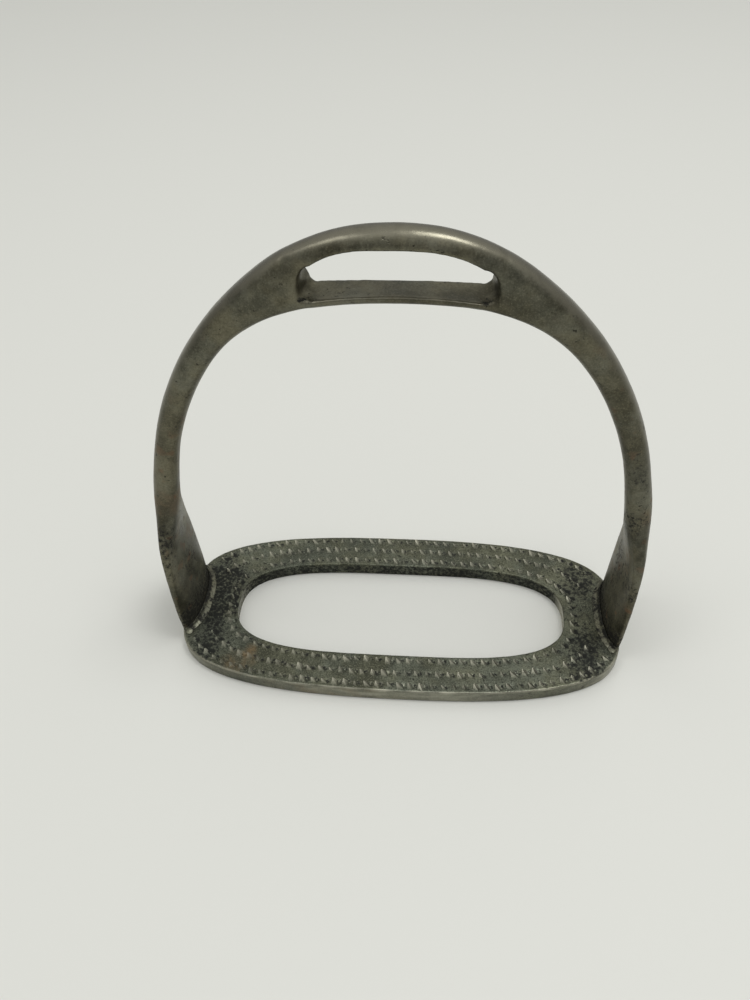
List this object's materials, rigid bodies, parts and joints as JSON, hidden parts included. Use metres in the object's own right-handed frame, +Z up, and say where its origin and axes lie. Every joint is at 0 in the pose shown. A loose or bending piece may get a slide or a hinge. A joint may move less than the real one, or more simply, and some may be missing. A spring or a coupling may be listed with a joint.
{
  "type": "stirrup iron",
  "caption": "Forged riding stirrup with an arched bow, a slotted leather eye and an open oval tread with rasp teeth.",
  "frame": {"origin": "centre of the tread's flat underside", "axes": "+X across the iron from leg to leg, +Y through the iron from its front to its back, +Z up from the tread to the leather eye"},
  "size_m": [0.1258, 0.055, 0.1199],
  "materials": {
    "bow_steel": "old grey-olive steel with darker mottling, polished along the crown and outer edge",
    "tread_steel": "dull worn steel with bright tooth tips, black grime near the feet and one rust patch",
    "braze": "tarnished braze metal, slightly lighter and warmer than the steel, speckled with grime"
  },
  "bodies": {
    "root": {"bow": "bow_steel", "tread_ring": "tread_steel", "left_foot_braze": "braze", "right_foot_braze": "braze"}
  },
  "joints": []
}
